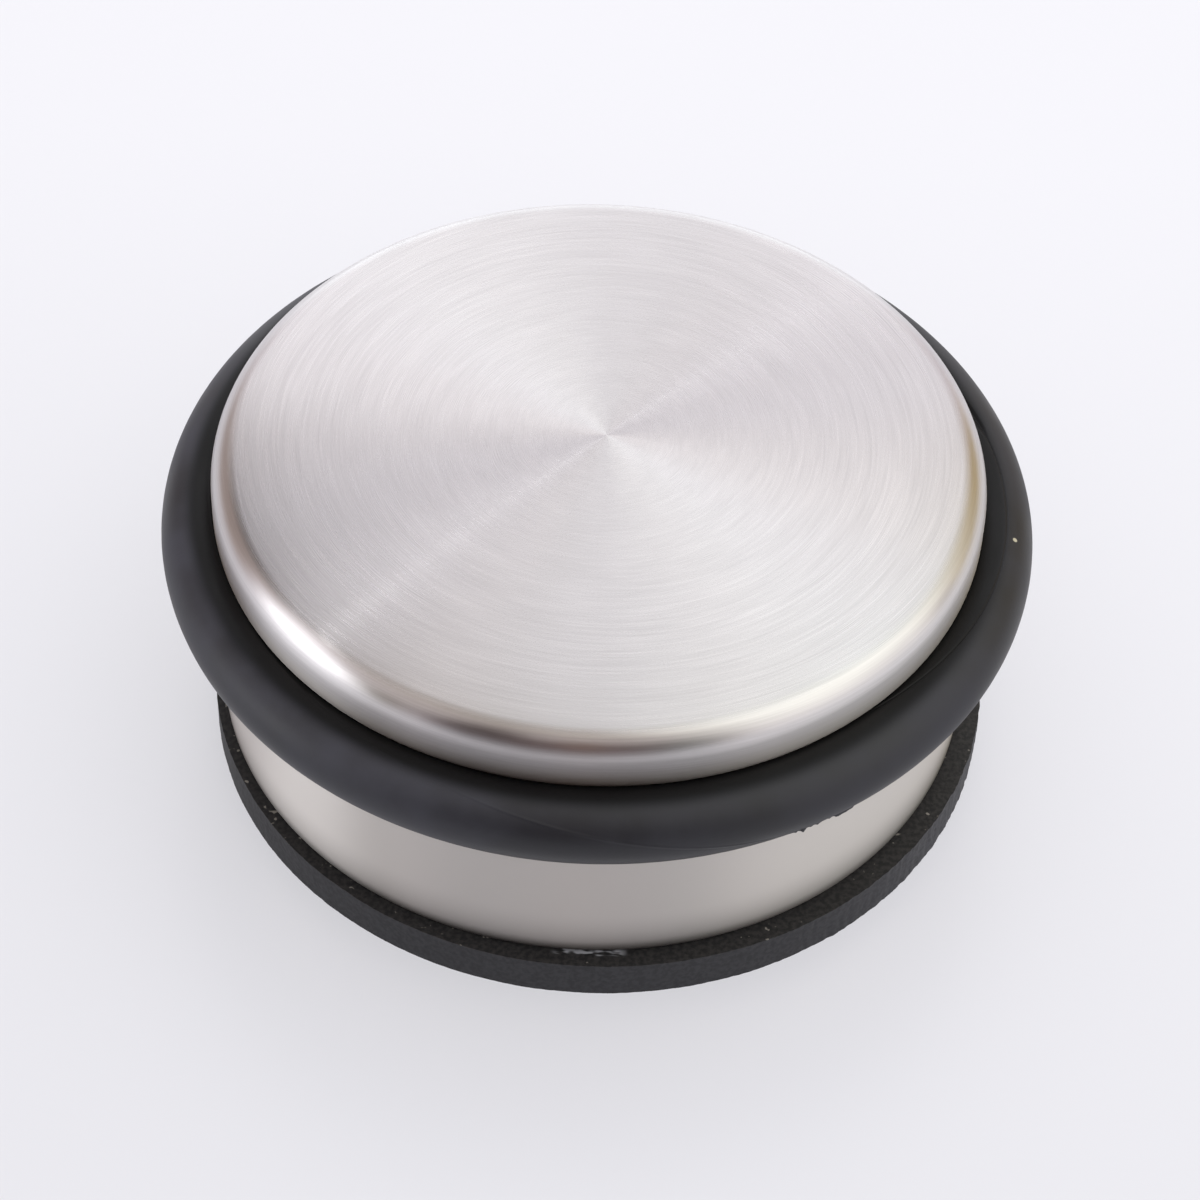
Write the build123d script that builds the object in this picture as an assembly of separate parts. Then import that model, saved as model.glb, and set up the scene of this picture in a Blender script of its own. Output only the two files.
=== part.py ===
from build123d import *
import os

# Free-standing door stop: a weighted steel puck on a rubber disc, with a rubber ring round its side.
# Millimetres, +Z up. The origin is the centre of the underside, on the floor.

# Driving dimensions
body_diameter = 88.0
overall_height = 40.5
ring_outer_diameter = 100.0
cord_diameter = 8.6
ring_height = 30.0
pad_diameter = 91.6
pad_thickness = 5.0
sheet = 0.8
screw_thread = 4.0
screw_count = 3

# Cover, drawn from one sheet: rounded top edge, rolled groove for the ring, lower edge turned in
top_edge_radius = 3.0
groove_lip_radius = 1.2
turned_edge_radius = 1.0
turned_edge_width = 2.1
body_radius = body_diameter / 2
inside_radius = body_radius - sheet
turned_edge_opening = body_radius - turned_edge_width

# Ring, a round cord that sits about a third of its thickness deep in the groove
ring_clearance = 0.05
cord_radius = cord_diameter / 2
ring_centre_radius = ring_outer_diameter / 2 - cord_radius
groove_radius = cord_radius + ring_clearance

# Heights of the stack inside the cover, from the pad up
plate_thickness = 2.5
liner_thickness = 1.0
plate_low = pad_thickness + sheet
plate_high = plate_low + plate_thickness
liner_high = overall_height - sheet
liner_low = liner_high - liner_thickness

# Radii of the parts inside, which fit loosely
fit_gap = 0.3
casting_edge_radius = 1.5
plate_radius = inside_radius - fit_gap
waist_radius = ring_centre_radius - groove_radius - sheet
weight_foot_radius = inside_radius - 2 * fit_gap
weight_neck_radius = waist_radius - 2 * fit_gap
weight_shoulder = ring_height - groove_radius - sheet
liner_radius = weight_neck_radius - casting_edge_radius
adhesive_radius = turned_edge_opening - fit_gap

# Countersunk screws, 90 degree heads with a cross recess, threads left plain
screw_circle_radius = 27.0
screw_length = 10.0
head_radius = 3.75
head_rim = 0.25
head_sink = 0.1
recess_span = 4.2
recess_width = 0.8
recess_depth = 1.3
hole_gap = 0.05
hole_spare_depth = 3.0
thread_radius = screw_thread / 2
screw_tip_chamfer = thread_radius / 4
screw_low = plate_low + head_sink
screw_high = screw_low + screw_length

stand_up = (Align.CENTER, Align.CENTER, Align.MIN)


def disc(radius, low, high):
    """A plain disc on the centre line between two heights."""
    return Pos(0, 0, low) * Cylinder(radius, high - low, align=stand_up)


def half_section(inset):
    """The area inside the cover's outer surface, right of the centre line, moved in by inset."""
    width = body_radius - inset
    height = overall_height - pad_thickness - 2 * inset
    area = Pos(0, pad_thickness + inset) * Rectangle(width, height, align=(Align.MIN, Align.MIN))
    area -= Pos(ring_centre_radius, ring_height) * Circle(groove_radius + inset)
    area = fillet(wall_corners(area)[1:3], groove_lip_radius - inset)
    area = fillet(wall_corners(area)[:1], turned_edge_radius - inset)
    return fillet(wall_corners(area)[-1:], top_edge_radius - inset)


def wall_corners(area):
    """Corners on a half section's outermost line, from the lowest up."""
    return area.vertices().group_by(Axis.X)[-1].sort_by(Axis.Y)


def cover_shell():
    """Sheet steel cover, open underneath inside its turned-in edge."""
    outside = revolve(Plane.XZ * half_section(0), Axis.Z)
    inside = revolve(Plane.XZ * half_section(sheet), Axis.Z)
    return outside - inside - disc(turned_edge_opening, pad_thickness, plate_low)


def buffer_ring():
    """Rubber cord ring that the door touches."""
    return Pos(0, 0, ring_height) * Torus(ring_centre_radius, cord_radius)


def at_screws(piece):
    """Copies of a piece on the screw circle."""
    return [place * piece for place in PolarLocations(screw_circle_radius, screw_count)]


def countersunk(gap, low, high):
    """A countersunk head with its shank above it, grown by gap all round."""
    head = head_radius + gap
    shank = thread_radius + gap
    rim_high = screw_low + head_rim
    cone = Pos(0, 0, rim_high) * Cone(head, shank, head - shank, align=stand_up)
    return disc(shank, low, high) + cone + disc(head, low, rim_high)


def screw_holes():
    """Countersinks and blind holes, cut from the plate's underside up into the weight."""
    return at_screws(countersunk(hole_gap, plate_low, screw_high + hole_spare_depth))


def iron_weight():
    """Cast iron slug: a wide foot below the groove, and a neck that passes the groove's waist."""
    foot = disc(weight_foot_radius, plate_high, weight_shoulder)
    slug = foot + disc(weight_neck_radius, plate_high, liner_low)
    rims = slug.edges().filter_by(GeomType.CIRCLE).sort_by(Axis.Z)
    slug = fillet([rims[0], rims[-1]], casting_edge_radius)
    return slug - screw_holes()


def anti_rattle_disc():
    """Foam disc that holds the weight away from the cover's top."""
    return disc(liner_radius, liner_low, liner_high)


def base_plate():
    """Steel plate under the weight, held in the cover by the turned-in edge."""
    return disc(plate_radius, plate_low, plate_high) - screw_holes()


def plate_screws():
    """Countersunk screws that hold the plate to the weight."""
    screw = countersunk(0, screw_low, screw_high)
    tip = screw.edges().filter_by(GeomType.CIRCLE).sort_by(Axis.Z)[-1]
    screw = chamfer(tip, screw_tip_chamfer)
    slot = Box(recess_span, recess_width, recess_depth, align=stand_up)
    cross = slot + Rot(0, 0, 90) * slot
    taper = Cone(recess_span / 2, recess_width, recess_depth, align=stand_up)
    screw -= Pos(0, 0, screw_low) * (cross & taper)
    return Part() + at_screws(screw)


def adhesive_disc():
    """Double-sided tape between the plate and the pad, inside the turned-in edge."""
    return disc(adhesive_radius, pad_thickness, plate_low)


def base_pad():
    """Rubber disc, cut from sheet, that grips the floor."""
    return disc(pad_diameter / 2, 0, pad_thickness)


sub_parts = (
    cover_shell,
    buffer_ring,
    iron_weight,
    anti_rattle_disc,
    base_plate,
    plate_screws,
    adhesive_disc,
    base_pad,
)

os.makedirs("parts", exist_ok=True)
for make in sub_parts:
    export_step(make(), f"parts/{make.__name__}.step")
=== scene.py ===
"""Looks of the free-standing door stop: brushed steel puck, rubber ring, rubber pad. Metres."""

import math

import bpy
from mathutils import Matrix, Vector, noise


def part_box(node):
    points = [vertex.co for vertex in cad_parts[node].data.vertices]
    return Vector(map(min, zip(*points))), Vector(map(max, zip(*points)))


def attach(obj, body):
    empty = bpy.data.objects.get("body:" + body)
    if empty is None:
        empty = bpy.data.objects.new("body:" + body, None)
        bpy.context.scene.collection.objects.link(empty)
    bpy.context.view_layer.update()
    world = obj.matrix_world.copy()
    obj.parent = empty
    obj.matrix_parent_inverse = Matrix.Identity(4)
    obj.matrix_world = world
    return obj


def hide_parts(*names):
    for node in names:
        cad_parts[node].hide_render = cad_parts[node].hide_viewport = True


MM = 0.001

# Camera, as the photographer held it: looking down at the front
CAMERA_ELEVATION = math.radians(48.696)
CAMERA_DISTANCE = 451.3 * MM
CAMERA_YAW = math.radians(-0.079)
CAMERA_PITCH = math.radians(1.354)
CAMERA_ROLL = math.radians(1.986)
FOCAL_LENGTH = 111.8  # millimetres, as Blender takes it
SENSOR_WIDTH = 36.0

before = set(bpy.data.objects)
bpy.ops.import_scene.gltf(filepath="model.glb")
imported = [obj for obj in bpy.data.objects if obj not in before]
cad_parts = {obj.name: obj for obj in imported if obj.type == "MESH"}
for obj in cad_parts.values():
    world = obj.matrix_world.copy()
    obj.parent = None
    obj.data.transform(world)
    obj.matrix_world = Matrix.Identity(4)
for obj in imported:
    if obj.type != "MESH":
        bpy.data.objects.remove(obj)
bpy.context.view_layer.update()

# Sizes read from the frame
cover_low, cover_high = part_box("cover_shell")
ring_low, ring_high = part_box("buffer_ring")
pad_low, pad_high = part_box("base_pad")
BODY_RADIUS = cover_high.x
TOP_Z = cover_high.z
CORD_RADIUS = (ring_high.z - ring_low.z) / 2
RING_Z = (ring_high.z + ring_low.z) / 2
RING_RADIUS = ring_high.x - CORD_RADIUS
PAD_RADIUS = pad_high.x
PAD_TOP = pad_high.z

# Cover sheet, as drawn: edge and bend radii
SHEET = 0.8 * MM
TOP_EDGE = 3.0 * MM
LIP = 1.2 * MM
TURNED_EDGE = 1.0 * MM
TURNED_WIDTH = 2.1 * MM
GROOVE_RADIUS = CORD_RADIUS + 0.05 * MM

# Into how many facets the cover's outline and its round are cut
TOP_STEPS = 24
EDGE_STEPS = 20
NECK_STEPS = 4
BEND_STEPS = 10
GROOVE_STEPS = 24
WALL_STEPS = 16
ROUND_STEPS = 256
ON_AXIS = 1e-9  # a smaller radius counts as zero


# ---------------------------------------------------------------- meshes


def arc(centre, radius, start, end, steps, outward=1):
    """Points of an arc in the (r, z) half plane, each with its surface normal; angles in degrees."""
    points = []
    for i in range(steps + 1):
        angle = math.radians(start + (end - start) * i / steps)
        direction = Vector((math.cos(angle), math.sin(angle)))
        points.append((Vector(centre) + direction * radius, direction * outward))
    return points


def line(start, end, steps, normal):
    """Evenly spaced points strictly between two points, each with the same normal."""
    start, end = Vector(start), Vector(end)
    return [(start.lerp(end, i / steps), Vector(normal)) for i in range(1, steps)]


def cover_outline():
    """The cover's outer line in (r, z), from the centre of the top to the turned-in edge's opening."""
    lip_r = BODY_RADIUS - LIP
    reach = RING_RADIUS - lip_r
    rise = math.sqrt((GROOVE_RADIUS + LIP) ** 2 - reach**2)
    turn = math.degrees(math.atan2(rise, reach))
    edge_r, edge_z = BODY_RADIUS - TOP_EDGE, TOP_Z - TOP_EDGE
    foot_r, foot_z = BODY_RADIUS - TURNED_EDGE, PAD_TOP + TURNED_EDGE
    opening = BODY_RADIUS - TURNED_WIDTH
    top_lip, low_lip = RING_Z + rise, RING_Z - rise
    out, up, down = (1, 0), (0, 1), (0, -1)
    points = [(Vector((0, TOP_Z)), Vector(up))]
    points += line((0, TOP_Z), (edge_r, TOP_Z), TOP_STEPS, up)
    points += arc((edge_r, edge_z), TOP_EDGE, 90, 0, EDGE_STEPS)
    points += line((BODY_RADIUS, edge_z), (BODY_RADIUS, top_lip), NECK_STEPS, out)
    points += arc((lip_r, top_lip), LIP, 0, -turn, BEND_STEPS)
    groove = arc((RING_RADIUS, RING_Z), GROOVE_RADIUS, 180 - turn, 180 + turn, GROOVE_STEPS, -1)
    points += groove[1:-1]
    points += arc((lip_r, low_lip), LIP, turn, 0, BEND_STEPS)
    points += line((BODY_RADIUS, low_lip), (BODY_RADIUS, foot_z), WALL_STEPS, out)
    points += arc((foot_r, foot_z), TURNED_EDGE, 0, -90, BEND_STEPS)
    points.append((Vector((opening, PAD_TOP)), Vector(down)))
    return points


def mesh_object(name, vertices, faces):
    """A smooth-shaded mesh object in the scene."""
    mesh = bpy.data.meshes.new(name)
    mesh.from_pydata(vertices, [], faces)
    mesh.validate()
    mesh.polygons.foreach_set("use_smooth", [True] * len(mesh.polygons))
    made = bpy.data.objects.new(name, mesh)
    bpy.context.scene.collection.objects.link(made)
    return made


def lathe(name, outline, steps=ROUND_STEPS):
    """Turns a closed (r, z) outline about +Z. Its first and last points lie on the axis."""
    vertices, rows = [], []
    for point in outline:
        if point.x < ON_AXIS:
            rows.append([len(vertices)] * steps)
            vertices.append((0, 0, point.y))
            continue
        rows.append(range(len(vertices), len(vertices) + steps))
        for i in range(steps):
            angle = math.tau * i / steps
            vertices.append((point.x * math.cos(angle), point.x * math.sin(angle), point.y))
    faces = []
    for low, high in zip(rows, rows[1:]):
        for i in range(steps):
            j = (i + 1) % steps
            face = (low[i], high[i], high[j], low[j])
            faces.append(tuple(dict.fromkeys(face)))
    return mesh_object(name, vertices, faces)


def make_cover():
    """The drawn steel cover: its outer line and, one sheet thickness inside, its inner line."""
    outer = cover_outline()
    inner = [point - normal * SHEET for point, normal in outer]
    outline = [point for point, normal in outer] + inner[::-1]
    cover = lathe("steel_cover", outline)
    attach(cover, "puck")
    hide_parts("cover_shell")
    return cover


# Ring: its mould seams wind round the cord, because the ring sits twisted in its groove.
# A place on its skin is an angle round the ring and a turn round the cord. The ridge seam lies
# at turn 0 and the notch seam opposite, at half a turn.
RING_STEPS = 1080
CLOSE_ROWS = 9  # rows each side of a seam
WIDE_ROWS = 24  # rows from one seam to the other
SEAM_HALF_WIDTH = 0.22 * MM
SEAM_SPREAD = SEAM_HALF_WIDTH / CORD_RADIUS
RIDGE_HEIGHT = 0.05 * MM
STEP_DEPTH = 0.03 * MM
NOTCH_DEPTH = 0.1 * MM
GAPE_DEPTH = 0.22 * MM
GAPE_START = math.radians(14)
FLASH_HEIGHT = 0.32 * MM
TORN_FLASH = (296.4, 302.6)  # degrees round the ring
WHOLE_FLASH = (303.2, 306.6)
GROOVE_BITE = math.radians(118)  # from straight outward, where the groove starts to hold the cord
GROOVE_FADE = 0.1  # radians


def ring_twist(angle):
    """How far the cord is turned about its own centre line at an angle round the ring, in radians."""
    once = -105 * math.cos(angle) - 11 * math.sin(angle)
    twice = -10 * math.cos(2 * angle) + 12 * math.sin(2 * angle)
    return math.radians(12 + once + twice)


def ramp(value, low, high):
    """0 below low, 1 above high and a smooth rise between."""
    share = min(max((value - low) / (high - low), 0), 1)
    return share * share * (3 - 2 * share)


def window(degrees, low, high, soft):
    """1 between two angles round the ring, falling smoothly to 0 outside them."""
    return ramp(degrees, low - soft, low + soft) * (1 - ramp(degrees, high - soft, high + soft))


def flash(angle):
    """Height of the flash left on the ridge seam: torn over one stretch, whole over the next."""
    degrees = math.degrees(angle)
    torn = noise.noise((degrees * 1.3, 4.0, 2.0)) + 0.6 * noise.noise((degrees * 4.1, 7.0, 1.0))
    rough = window(degrees, *TORN_FLASH, 0.3) * ramp(torn, -0.05, 0.5)
    whole = window(degrees, *WHOLE_FLASH, 0.35) * (0.9 + 0.2 * torn)
    return FLASH_HEIGHT * (rough + whole)


def ridge(angle, away):
    """Height of the ridge seam, away from its crest by a turn round the cord."""
    waver = 0.8 + 0.4 * noise.noise((math.degrees(angle) * 0.4, 1.0, 5.0))
    return (RIDGE_HEIGHT * waver + flash(angle)) * math.exp(-2 * (away / SEAM_SPREAD) ** 2)


def notch(angle, away):
    """Depth of the notch seam, which gapes along one stretch of the ring."""
    past = math.degrees(math.remainder(angle - GAPE_START, math.tau))
    gape = ramp(past, -1.5, 2.5) * (1 - ramp(past, 40, 60))
    wide = SEAM_SPREAD * (0.45 + 1.1 * gape)
    return (NOTCH_DEPTH + GAPE_DEPTH * gape) * math.exp(-((away / wide) ** 2))


def step(away):
    """Depth of the step at the notch seam, where the mould's halves stood a little apart."""
    below = -away / SEAM_SPREAD
    return STEP_DEPTH * ramp(below, -0.3, 0.6) * (1 - ramp(below, 0.6, 9))


def seam_relief(angle, turn):
    """Height of the skin over the plain cord."""
    from_ridge = math.remainder(turn, math.tau)
    from_notch = math.remainder(turn - math.pi, math.tau)
    return ridge(angle, from_ridge) - notch(angle, from_notch) - step(from_notch)


def seam_turns():
    """Turns round the cord, close together at the two seams and wide apart between."""
    spacing = SEAM_SPREAD / 4
    close = [spacing * i for i in range(-CLOSE_ROWS, CLOSE_ROWS + 1)]
    first, last = close[-1], math.pi + close[0]
    wide = [first + (last - first) * i / WIDE_ROWS for i in range(1, WIDE_ROWS)]
    half = close + wide
    return half + [turn + math.pi for turn in half]


def ring_vertices(turns):
    """Points of the ring's skin, one row round the cord after another, plain where the groove holds it."""
    vertices = []
    for i in range(RING_STEPS):
        angle = math.tau * i / RING_STEPS
        twist = ring_twist(angle)
        for turn in turns:
            slope = turn + twist
            inward = abs(math.remainder(slope, math.tau))
            free = 1 - ramp(inward, GROOVE_BITE - GROOVE_FADE, GROOVE_BITE)
            radius = CORD_RADIUS + free * seam_relief(angle, turn)
            r = RING_RADIUS + radius * math.cos(slope)
            z = RING_Z + radius * math.sin(slope)
            vertices.append((r * math.cos(angle), r * math.sin(angle), z))
    return vertices


def make_ring():
    """The rubber ring, a twisted cord with two mould seams."""
    turns = seam_turns()
    count = len(turns)
    faces = []
    for i in range(RING_STEPS):
        j = (i + 1) % RING_STEPS
        for k in range(count):
            m = (k + 1) % count
            faces.append((i * count + k, j * count + k, j * count + m, i * count + m))
    piece = mesh_object("rubber_ring", ring_vertices(turns), faces)
    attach(piece, "ring")
    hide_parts("buffer_ring")
    return piece


# Pad: die-cut from sheet, and glued on a little off centre
PAD_SHIFT = 0.74 * MM
PAD_LEAN = 0.03 * MM
PAD_STEPS = 1440
PAD_ROWS = (1.0, 0.97, 0.9, 0.75, 0.55, 0.35, 0.15, 0.04, 0.0)  # shares of its thickness
SHARP_EDGE = math.radians(40)


def cut_wander(angle, z):
    """How far the pad's cut edge wanders in and out, most at the right, where it is worn."""
    right = ramp(math.cos(angle), 0.2, 1.0)
    around = Vector((math.cos(angle), math.sin(angle), 0))
    slow = noise.noise(around * 9 + Vector((0, 0, z / (4 * MM))))
    tear = noise.noise(around * 55 + Vector((5, 0, z / (3 * MM))))
    fine = noise.noise(around * 170 + Vector((0, 9, z / (1.2 * MM))))
    return (0.05 * slow + (0.04 + 0.08 * right) * tear + (0.02 + 0.03 * right) * fine) * MM


def pad_vertices():
    """Points of the pad: the middle of its face, the rows of its cut edge, the middle of its foot."""
    vertices = [(0, 0, PAD_TOP)]
    for share in PAD_ROWS:
        inset, z = PAD_LEAN * (1 - share) ** 0.7, share * PAD_TOP
        for i in range(PAD_STEPS):
            angle = math.tau * i / PAD_STEPS
            r = PAD_RADIUS - inset + cut_wander(angle, z)
            vertices.append((r * math.cos(angle), r * math.sin(angle), z))
    vertices.append((0, 0, 0))
    return vertices


def make_pad():
    """The rubber disc under the puck: a flat face, a ragged upper rim, and a cut that leans in."""
    vertices = pad_vertices()
    faces = []
    for i in range(PAD_STEPS):
        j = (i + 1) % PAD_STEPS
        faces.append((0, 1 + i, 1 + j))
        for row in range(len(PAD_ROWS) - 1):
            high, low = 1 + row * PAD_STEPS, 1 + (row + 1) * PAD_STEPS
            faces.append((high + i, low + i, low + j, high + j))
        last = 1 + (len(PAD_ROWS) - 1) * PAD_STEPS
        faces.append((last + i, len(vertices) - 1, last + j))
    piece = mesh_object("floor_pad", vertices, faces)
    piece.data.set_sharp_from_angle(angle=SHARP_EDGE)
    piece.location.x = PAD_SHIFT
    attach(piece, "puck")
    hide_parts("base_pad")
    return piece


# ---------------------------------------------------------------- node materials


class Nodes:
    """Short calls for building one node tree. Values may be sockets, numbers or tuples."""

    def __init__(self, tree):
        self.tree = tree
        tree.nodes.clear()

    def add(self, kind, inputs=None, **settings):
        """A node of a kind, with its inputs by name or number."""
        made = self.tree.nodes.new(kind)
        for name, value in settings.items():
            setattr(made, name, value)
        for socket, value in (inputs or {}).items():
            if isinstance(value, bpy.types.NodeSocket):
                self.tree.links.new(value, made.inputs[socket])
            else:
                made.inputs[socket].default_value = value
        return made

    def place(self):
        """The place on the piece, in metres."""
        return self.add("ShaderNodeTexCoord").outputs["Object"]

    def math(self, operation, *values):
        """One sum on numbers."""
        made = self.add("ShaderNodeMath", dict(enumerate(values)), operation=operation)
        return made.outputs[0]

    def vector(self, operation, *values, output=0):
        """One sum on vectors. Lengths and distances come out of output 1."""
        made = self.add("ShaderNodeVectorMath", dict(enumerate(values)), operation=operation)
        return made.outputs[output]

    def combine(self, x, y, z):
        """A vector from its three parts."""
        return self.add("ShaderNodeCombineXYZ", {0: x, 1: y, 2: z}).outputs[0]

    def separate(self, vector):
        """The three parts of a vector."""
        return self.add("ShaderNodeSeparateXYZ", {0: vector}).outputs

    def noise(self, vector, scale, detail=2.0):
        """Soft noise from about 0 to 1."""
        inputs = {"Vector": vector, "Scale": scale, "Detail": detail}
        return self.add("ShaderNodeTexNoise", inputs).outputs[0]

    def span(self, value, low, high, out_low=0.0, out_high=1.0, smooth=True):
        """Maps low..high to out_low..out_high, with its ends held, and smoothly unless told not to."""
        kind = "SMOOTHSTEP" if smooth else "LINEAR"
        inputs = {0: value, 1: low, 2: high, 3: out_low, 4: out_high}
        return self.add("ShaderNodeMapRange", inputs, interpolation_type=kind).outputs[0]

    def weigh(self, first, second, share):
        """A share of the first value and the rest of the second."""
        kept = self.math("MULTIPLY", first, share)
        return self.math("ADD", kept, self.math("MULTIPLY", second, 1 - share))

    def mix(self, factor, first, second):
        """The first colour at factor 0, the second at 1."""
        made = self.add("ShaderNodeMix", {0: factor, 6: first, 7: second}, data_type="RGBA")
        return made.outputs[2]

    def times(self, colour, factor):
        """A colour made lighter or darker by a factor."""
        return self.vector("MULTIPLY", colour, self.combine(factor, factor, factor))

    def bump(self, height, strength, distance):
        """A surface normal, tilted as by a relief."""
        inputs = {"Height": height, "Strength": strength, "Distance": distance}
        return self.add("ShaderNodeBump", inputs).outputs[0]

    def surface(self, inputs):
        """The material's one plain shader."""
        shader = self.add("ShaderNodeBsdfPrincipled", inputs)
        self.add("ShaderNodeOutputMaterial", {0: shader.outputs[0]})


def new_material(name):
    """An empty node material and its node builder."""
    material = bpy.data.materials.new(name)
    material.use_nodes = True
    return material, Nodes(material.node_tree)


def paint(piece, material):
    """Gives a piece one material."""
    piece.data.materials.clear()
    piece.data.materials.append(material)


# Steel: the brushing's centre and depth, and the slight crown of the top that it shows
BRUSH_CENTRE = (0.7 * MM, 2.7 * MM)
SCRATCH_DEPTH = 0.00105 * MM
FLAT_RADIUS = BODY_RADIUS - TOP_EDGE
CROWN = math.radians(1.0)
RIM_FALL = math.radians(5)
STEEL_DARK = (0.602, 0.585, 0.59, 1)
STEEL_PALE = (0.648, 0.63, 0.635, 1)
STEEL_WALL = (0.635, 0.605, 0.575, 1)
# Painted shade low on the wall, darkest at its foot: the pad's dark reflection and the contact shade there
LOW_WALL_SHADE_TOP = PAD_TOP + 0.2 * (TOP_Z - PAD_TOP)
FOOT_SHADE_LOW, FOOT_SHADE_TOP = PAD_TOP + 0.4 * MM, PAD_TOP + 2.2 * MM


def streaks(nodes, direction, across, changes, pitch, detail=2.0):
    """Noise drawn out along the brushing: changes along it, and its width across in millimetres."""
    x, y, _ = nodes.separate(direction)
    around = [nodes.math("MULTIPLY", part, changes) for part in (x, y)]
    place = nodes.combine(*around, nodes.math("DIVIDE", across, pitch * MM))
    return nodes.noise(place, 1.0, detail)


def crown_height(nodes, reach):
    """Height of the top's crown at a share of its radius: a flat dome that falls faster at the rim."""
    falls = []
    for slope, power in ((CROWN, 2), (RIM_FALL, 6)):
        depth = -math.tan(slope) * FLAT_RADIUS / power
        falls.append(nodes.math("MULTIPLY", nodes.math("POWER", reach, power), depth))
    return nodes.math("ADD", *falls)


def steel_colour(nodes, z, reach, tone, lines):
    """Mottled along the brushing on top and warmer down the wall; darkened low on the wall and most at its
    foot, a painted shade for the pad's dark reflection and the contact shade there.
    """
    colour = nodes.mix(nodes.span(tone, 0.26, 0.74), STEEL_DARK, STEEL_PALE)
    strength = nodes.span(reach, 0.2, 0.85, 0.4, 1.0)
    contrast = nodes.span(lines, 0.3, 0.7, -0.08, 0.08, smooth=False)
    colour = nodes.times(colour, nodes.math("MULTIPLY_ADD", contrast, strength, 1.0))
    colour = nodes.mix(nodes.span(z, TOP_Z - TOP_EDGE, TOP_Z - 2 * TOP_EDGE), colour, STEEL_WALL)
    # Painted shade: darker low on the wall and darker still at its foot, for the pad's dark reflection and
    # the contact shade
    low_wall_shade = nodes.span(z, PAD_TOP, LOW_WALL_SHADE_TOP, 0.7, 1.0)
    foot_shade = nodes.span(z, FOOT_SHADE_LOW, FOOT_SHADE_TOP, 0.45, 1.0)
    return nodes.times(colour, nodes.math("MULTIPLY", low_wall_shade, foot_shade))


def by_part(nodes, rolled, wall, values):
    """A value for the top, one for the rolled edge and one for the wall, smooth between them."""
    on_top, on_edge, on_wall = values
    change = nodes.span(wall, 0, 1, 0, on_wall - on_edge)
    return nodes.math("ADD", nodes.span(rolled, 0, 1, on_top, on_edge), change)


def brushed_steel():
    """Satin stainless steel, brushed in circles on the top and round the wall."""
    material, nodes = new_material("brushed_steel")
    x, y, z = nodes.separate(nodes.vector("SUBTRACT", nodes.place(), (*BRUSH_CENTRE, 0)))
    flat = nodes.combine(x, y, 0)
    radius = nodes.vector("LENGTH", flat, output=1)
    direction = nodes.vector("NORMALIZE", flat)
    across = nodes.math("SUBTRACT", radius, z)
    reach = nodes.math("DIVIDE", radius, FLAT_RADIUS)
    fine = streaks(nodes, direction, across, 4.5, 0.17)
    middle = streaks(nodes, direction, across, 4.0, 0.4)
    broad = streaks(nodes, direction, across, 3.0, 2.5, 1.0)
    rings = streaks(nodes, direction, across, 1.6, 0.3, 1.0)
    lines = nodes.weigh(fine, rings, 0.6)
    scratches = nodes.math("MULTIPLY", nodes.weigh(fine, middle, 0.7), SCRATCH_DEPTH)
    dx, dy, _ = nodes.separate(direction)
    # The rolled edge is brushed more lightly than the top, and the wall more coarsely
    below = nodes.math("DIVIDE", nodes.math("SUBTRACT", TOP_Z, z), TOP_EDGE)
    rolled = nodes.span(below, 0.0, 0.1)
    wall = nodes.span(below, 0.4, 1.0)
    shared = {
        "Tangent": nodes.combine(nodes.math("MULTIPLY", dy, -1), dx, 0),
        "Normal": nodes.bump(nodes.math("ADD", scratches, crown_height(nodes, reach)), 1.0, 1.0),
    }
    colour = steel_colour(nodes, z, reach, nodes.weigh(middle, broad, 0.6), lines)
    satin = {
        "Base Color": colour,
        "Metallic": 1.0,
        "Roughness": by_part(nodes, rolled, wall, (0.285, 0.29, 0.34)),
        "Anisotropic": by_part(nodes, rolled, wall, (0.965, 0.80, 0.965)),
        "Anisotropic Rotation": 0.25,
        **shared,
    }
    # The straightest scratches on the top mirror a lamp as one thin ray
    straight = {"Color": colour, "Roughness": 0.21, "Anisotropy": 0.82, **shared}
    share = nodes.math("MULTIPLY", nodes.span(lines, 0.35, 0.65, 0.25, 0.85), nodes.span(rolled, 0, 1, 1, 0))
    shaders = {
        0: share,
        1: nodes.add("ShaderNodeBsdfPrincipled", satin).outputs[0],
        2: nodes.add("ShaderNodeBsdfAnisotropic", straight).outputs[0],
    }
    both = nodes.add("ShaderNodeMixShader", shaders)
    nodes.add("ShaderNodeOutputMaterial", {0: both.outputs[0]})
    return material


# Ring rubber: near black towards the groove, a painted shade in the crevice by the cover; dust on its
# outside, painted lighter on the left
RUBBER_CREVICE_SHADE = (0.004, 0.004, 0.0045, 1)
RUBBER_DUSTY = ((0.012, 0.012, 0.015, 1), (0.024, 0.024, 0.031, 1))
FLECK_COLOUR = (0.42, 0.38, 0.26, 1)
FLECK_ANGLE = math.radians(353.8)
FLECK_TURN = math.radians(62.2)
FLECK_CORE, FLECK_EDGE = 0.2 * MM, 0.35 * MM


def fleck_place():
    """Where the pale fleck sits on the ring."""
    r = RING_RADIUS + CORD_RADIUS * math.cos(FLECK_TURN)
    z = RING_Z + CORD_RADIUS * math.sin(FLECK_TURN)
    return (r * math.cos(FLECK_ANGLE), r * math.sin(FLECK_ANGLE), z)


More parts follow.
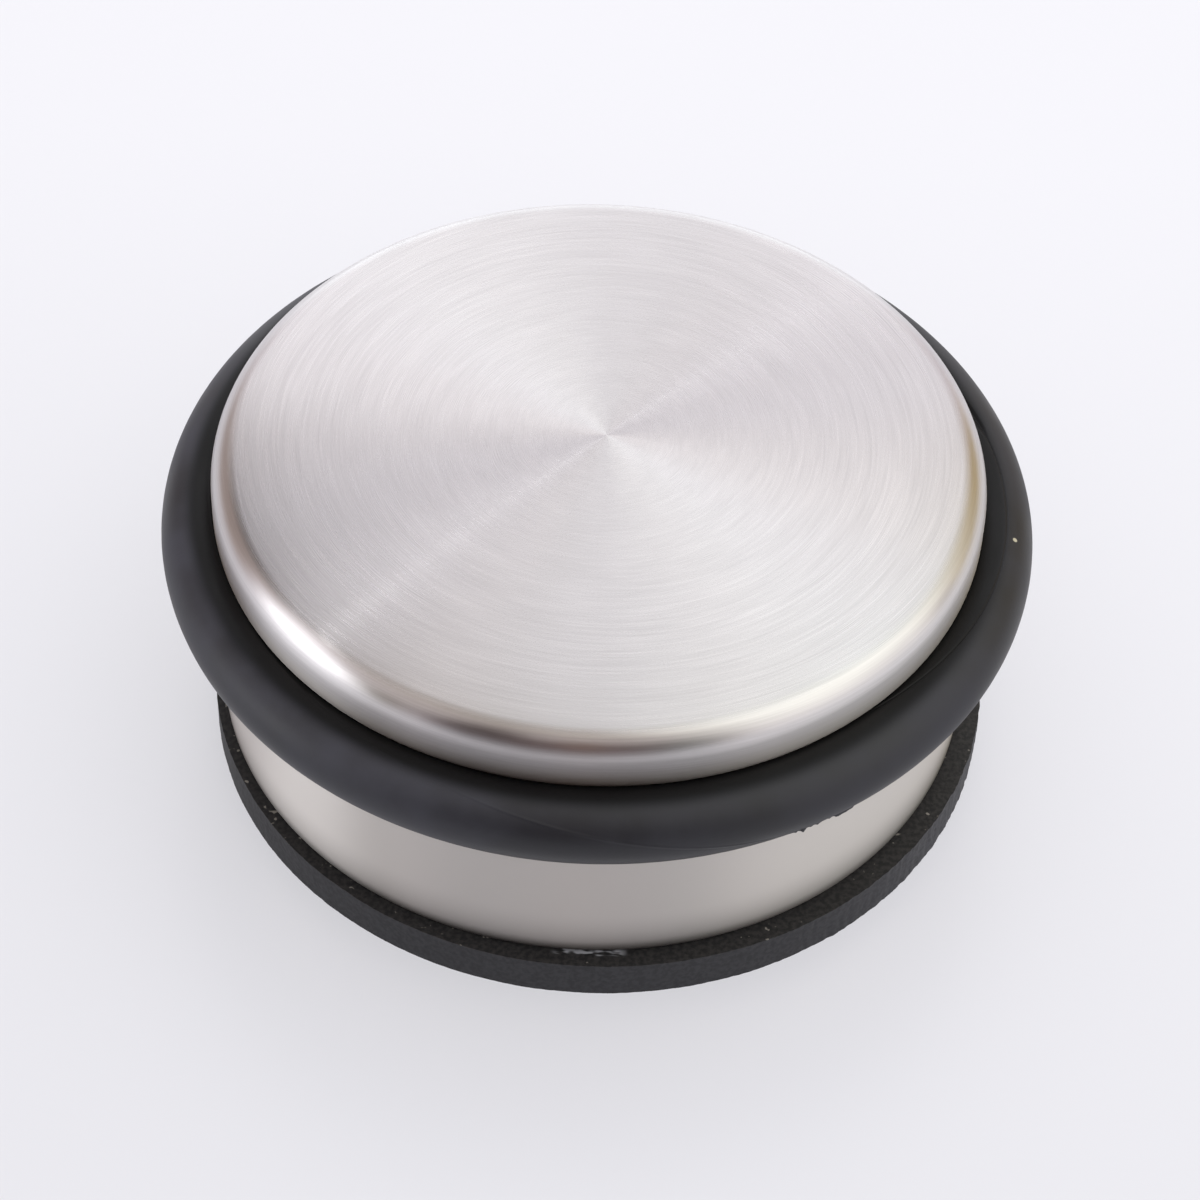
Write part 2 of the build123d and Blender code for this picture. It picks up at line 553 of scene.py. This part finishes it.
def ring_rubber():
    """Charcoal moulded rubber with clouds of dust on its outside, painted shade in the crevice by the cover,
    painted light on its left side, and one pale fleck.
    """
    material, nodes = new_material("ring_rubber")
    place = nodes.place()
    x, y, _ = nodes.separate(place)
    radius = nodes.vector("LENGTH", nodes.combine(x, y, 0), output=1)
    cloud = nodes.noise(place, 90.0, 4.0)
    grain = nodes.noise(place, 2500.0, 2.0)
    dust_and_left_light = nodes.mix(nodes.span(cloud, 0.3, 0.7), *RUBBER_DUSTY)
    # Painted light: the dust colour is made lighter towards the ring's left side, where more light falls
    dust_and_left_light = nodes.times(dust_and_left_light, nodes.span(x, RING_RADIUS / 2, -RING_RADIUS, 0.9, 1.7))
    # Painted shade: towards the groove the rubber turns near black, for the shade in the crevice by the
    # cover; outward it takes the dust colour
    worn = nodes.span(radius, RING_RADIUS, RING_RADIUS + 0.5 * CORD_RADIUS)
    colour = nodes.mix(worn, RUBBER_CREVICE_SHADE, dust_and_left_light)
    away = nodes.vector("DISTANCE", place, fleck_place(), output=1)
    nodes.surface(
        {
            "Base Color": nodes.mix(nodes.span(away, FLECK_EDGE, FLECK_CORE), colour, FLECK_COLOUR),
            "Roughness": nodes.span(cloud, 0.3, 0.7, 0.42, 0.55),
            "Specular IOR Level": nodes.span(worn, 0, 1, 0.2, 0.4),
            "Normal": nodes.bump(grain, 0.15, 0.05 * MM),
        }
    )
    return material


# Pad rubber: each surface is mottled between two colours
PAD_FACE = ((0.006, 0.006, 0.007, 1), (0.024, 0.022, 0.021, 1))
PAD_CUT = ((0.014, 0.014, 0.017, 1), (0.025, 0.025, 0.029, 1))
DUST_COLOUR = (0.22, 0.2, 0.17, 1)
GLUE_COLOUR = (0.3, 0.3, 0.31, 1)
GLUE_REACH = BODY_RADIUS + 0.45 * MM
GLUE_FULL = BODY_RADIUS + 0.15 * MM


def glue_beads(nodes, place, x, y, radius):
    """How much glue shows: beads squeezed out in front, where the wall stands on the pad."""
    drawn = nodes.vector("MULTIPLY", place, (1, 3, 1))
    beads = nodes.span(nodes.noise(drawn, 700.0, 1.0), 0.42, 0.62)
    limits = (
        nodes.span(radius, GLUE_REACH, GLUE_FULL),
        nodes.span(nodes.math("ABSOLUTE", x), 4.5 * MM, 3 * MM),
        nodes.math("LESS_THAN", y, 0),
    )
    for limit in limits:
        beads = nodes.math("MULTIPLY", beads, limit)
    return beads


def pad_rubber():
    """Dark sheet rubber: a granular black face with dust and beads of glue on it, and a paler cut edge."""
    material, nodes = new_material("pad_rubber")
    place = nodes.place()
    x, y, z = nodes.separate(place)
    radius = nodes.vector("LENGTH", nodes.combine(x, y, 0), output=1)
    grain = nodes.noise(place, 1800.0, 3.0)
    mottle = nodes.span(grain, 0.35, 0.65)
    specks = nodes.math("ADD", nodes.noise(place, 1100.0, 1.0), nodes.span(x, 0, -PAD_RADIUS, 0, 0.06))
    face = nodes.mix(nodes.span(specks, 0.73, 0.8), nodes.mix(mottle, *PAD_FACE), DUST_COLOUR)
    face = nodes.mix(glue_beads(nodes, place, x, y, radius), face, GLUE_COLOUR)
    worn = nodes.span(x, 0.5 * PAD_RADIUS, PAD_RADIUS, 1.0, 1.8)
    cut = nodes.times(nodes.mix(mottle, *PAD_CUT), worn)
    colour = nodes.mix(nodes.span(z, PAD_TOP - 0.02 * MM, PAD_TOP - 0.1 * MM), face, cut)
    nodes.surface({"Base Color": colour, "Roughness": 0.7, "Normal": nodes.bump(grain, 0.4, 0.1 * MM)})
    return material


# ---------------------------------------------------------------- studio

BACKDROP = (0.913, 0.905, 0.956, 1)

# Daylight that falls on the matt surfaces, mostly from above and the back right
KEY = Vector((0.35, 0.1, 0.9)).normalized()
DAY_DIM = (0.30, 0.30, 0.32, 1)
DAY_BRIGHT = (1.60, 1.60, 1.66, 1)

# Soft rectangles of the room, each laid over those before it. Angles in degrees, azimuth from +X;
# lean is how far the rectangle's azimuth moves for each degree of elevation
ROOM = (
    # what, centre, half size, softness, lean, colour
    ("dark room behind the camera", (267, 12), (41, 28), (9, 16), 0, (0.06, 0.02, 0.02)),
    ("photographer", (241, 28), (9, 27), (4, 12), 0, (0.04, 0.02, 0.02)),
    ("camera", (268, 26), (5, 16), (3, 10), 0, (0.16, 0.07, 0.04)),
    ("dark doorway", (294, 12), (6, 22), (4, 10), 0, (0.01, 0.01, 0.01)),
    ("tan wall", (31, 20), (23, 26), (8, 6), 0, (0.44, 0.28, 0.03)),
    ("dark post", (13, 3), (4, 22), (3, 8), 0, (0.1, 0.01, 0.01)),
    ("grey curtain", (146, 22), (22, 32), (8, 8), 0, (0.42, 0.33, 0.29)),
    ("right softbox", (349, 60), (39, 49), (29, 30), 0, (1.7, 1.7, 1.58)),
    ("window sill", (92, 2), (20, 15), (8, 6), 0, (2.2, 2.3, 2.35)),
    ("back window", (95, 38), (27, 16), (8, 8), 0, (1.5, 1.46, 1.52)),
    ("left ceiling", (128, 50), (20, 14), (8, 8), 0, (0.01, 0.01, 0.01)),
    ("glow on the left", (212, 6), (10, 26), (6, 12), 0, (0.18, 0.15, 0.1)),
    ("left softbox", (193, 5), (15, 22), (9, 3), -0.2, (3.0, 3.0, 3.05)),
    ("left softbox top", (181, 37), (11, 12), (7, 6), -0.5, (1.65, 1.58, 1.6)),
    ("ceiling light", (47, 60), (31, 10), (3, 30), 0, (1.38, 1.5, 1.46)),
    ("ceiling above the window", (90, 68), (20, 13), (10, 8), 0, (1.1, 1.14, 1.15)),
    ("ceiling tube", (150, 59), (9, 0.8), (4, 0.5), 0, (4.2, 4.2, 4.2)),
)

# The room between the rectangles: its colour at the horizon, and from HIGH_START up
ROOM_LOW = (0.9, 0.82, 0.86, 1)
ROOM_HIGH = (0.61, 0.54, 0.48, 1)
HIGH_START = math.radians(80)

# Floor, in metres: its colour changes a little from front to back, and its shade is round
FLOOR_HALF = 2.0
FLOOR_FRONT, FLOOR_BACK = (0.286, 0.284, 0.295, 1), (0.306, 0.304, 0.316, 1)
FLOOR_FRONT_Y, FLOOR_BACK_Y = -0.07, 0.1
FLOOR_GLOW = 1.6
SHADE_PLACE = (-0.03, -0.32, 0)
SHADE_INNER, SHADE_OUTER = 0.1, 0.2
SHADE_COLOUR = (0.14, 0.14, 0.14, 1)


def make_floor():
    """A pale satin floor, lit a little from below; the steel mirrors it as shaded in front."""
    corners = [(x * FLOOR_HALF, y * FLOOR_HALF, 0) for x, y in ((-1, -1), (1, -1), (1, 1), (-1, 1))]
    floor = mesh_object("studio_floor", corners, [(0, 1, 2, 3)])
    material, nodes = new_material("studio_floor")
    place = nodes.place()
    _, y, _ = nodes.separate(place)
    back = nodes.span(y, FLOOR_FRONT_Y, FLOOR_BACK_Y, smooth=False)
    plain = nodes.mix(back, FLOOR_FRONT, FLOOR_BACK)
    away = nodes.vector("DISTANCE", place, SHADE_PLACE, output=1)
    mirrored = nodes.mix(nodes.span(away, SHADE_OUTER, SHADE_INNER), plain, SHADE_COLOUR)
    seen = nodes.add("ShaderNodeLightPath").outputs["Is Camera Ray"]
    colour = nodes.mix(seen, mirrored, plain)
    glow = {"Emission Color": colour, "Emission Strength": FLOOR_GLOW}
    nodes.surface({"Base Color": colour, "Roughness": 0.35, **glow})
    paint(floor, material)


def room_patch(nodes, azimuth, elevation, centre, half, soft, lean):
    """How much of one soft rectangle lies in a direction, from 0 to 1."""
    rise = nodes.math("SUBTRACT", elevation, math.radians(centre[1]))
    middle = nodes.math("MULTIPLY_ADD", rise, lean, math.radians(centre[0]))
    turn = nodes.math("WRAP", nodes.math("SUBTRACT", azimuth, middle), math.pi, -math.pi)
    edges = []
    for distance, size, blur in zip((turn, rise), half, soft):
        inner, outer = math.radians(size - blur), math.radians(size + blur)
        edges.append(nodes.span(nodes.math("ABSOLUTE", distance), inner, outer, 1.0, 0.0))
    return nodes.math("MULTIPLY", *edges)


def make_room():
    """The studio: matt surfaces get plain daylight, shiny ones mirror the room, the camera sees white."""
    world = bpy.data.worlds.new("studio")
    world.use_nodes = True
    world.cycles.sampling_method = "NONE"
    bpy.context.scene.world = world
    nodes = Nodes(world.node_tree)
    direction = nodes.add("ShaderNodeTexCoord").outputs["Generated"]
    x, y, z = nodes.separate(direction)
    azimuth = nodes.math("ARCTAN2", y, x)
    elevation = nodes.math("ARCSINE", z)
    light = nodes.mix(nodes.span(elevation, 0.0, HIGH_START), ROOM_LOW, ROOM_HIGH)
    for _, centre, half, soft, lean, colour in ROOM:
        patch = room_patch(nodes, azimuth, elevation, centre, half, soft, lean)
        light = nodes.mix(patch, light, (*colour, 1))
    facing = nodes.vector("DOT_PRODUCT", direction, KEY, output=1)
    daylight = nodes.mix(nodes.span(facing, -0.2, 0.9), DAY_DIM, DAY_BRIGHT)
    path = nodes.add("ShaderNodeLightPath").outputs
    colour = nodes.mix(path["Is Diffuse Ray"], light, daylight)
    colour = nodes.mix(path["Is Camera Ray"], colour, BACKDROP)
    background = nodes.add("ShaderNodeBackground", {"Color": colour})
    nodes.add("ShaderNodeOutputWorld", {0: background.outputs[0]})


def make_camera():
    """The camera, aimed at the part's origin and then nudged to frame it."""
    data = bpy.data.cameras.new("camera")
    data.lens = FOCAL_LENGTH
    data.sensor_width = SENSOR_WIDTH
    camera = bpy.data.objects.new("camera", data)
    bpy.context.scene.collection.objects.link(camera)
    reach = CAMERA_DISTANCE * math.cos(CAMERA_ELEVATION)
    place = Matrix.Translation((0, -reach, CAMERA_DISTANCE * math.sin(CAMERA_ELEVATION)))
    look = Matrix.Rotation(math.pi / 2 - CAMERA_ELEVATION, 4, "X")
    yaw = Matrix.Rotation(CAMERA_YAW, 4, "Y")
    pitch = Matrix.Rotation(CAMERA_PITCH, 4, "X")
    roll = Matrix.Rotation(CAMERA_ROLL, 4, "Z")
    camera.matrix_world = place @ look @ yaw @ pitch @ roll
    bpy.context.scene.camera = camera


def plain_material(name, colour, metallic, roughness, grain):
    """A simple finish for the sealed parts inside: colour, and grain of a size in millimetres."""
    material, nodes = new_material(name)
    speckle = nodes.noise(nodes.place(), 1 / (grain * MM), 3.0)
    dark = tuple(0.8 * part for part in colour)
    inputs = {
        "Base Color": nodes.mix(nodes.span(speckle, 0.3, 0.7), (*dark, 1), (*colour, 1)),
        "Metallic": metallic,
        "Roughness": roughness,
        "Normal": nodes.bump(speckle, 0.2, 0.05 * MM),
    }
    nodes.surface(inputs)
    return material


def finish_inside():
    """Materials of the CAD nodes that are sealed inside the cover."""
    zinc = plain_material("zinc_plating", (0.68, 0.69, 0.72), 1.0, 0.35, 1.5)
    finishes = {
        "iron_weight": plain_material("cast_iron", (0.12, 0.115, 0.11), 0.6, 0.65, 0.8),
        "anti_rattle_disc": plain_material("foam", (0.05, 0.05, 0.05), 0.0, 0.9, 0.5),
        "base_plate": zinc,
        "plate_screws": zinc,
        "adhesive_disc": plain_material("foam_tape", (0.75, 0.74, 0.70), 0.0, 0.8, 0.4),
    }
    for node, material in finishes.items():
        paint(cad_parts[node], material)


bpy.context.scene.view_settings.view_transform = "Standard"
paint(make_cover(), brushed_steel())
paint(make_ring(), ring_rubber())
paint(make_pad(), pad_rubber())
finish_inside()
make_floor()
make_room()
make_camera()
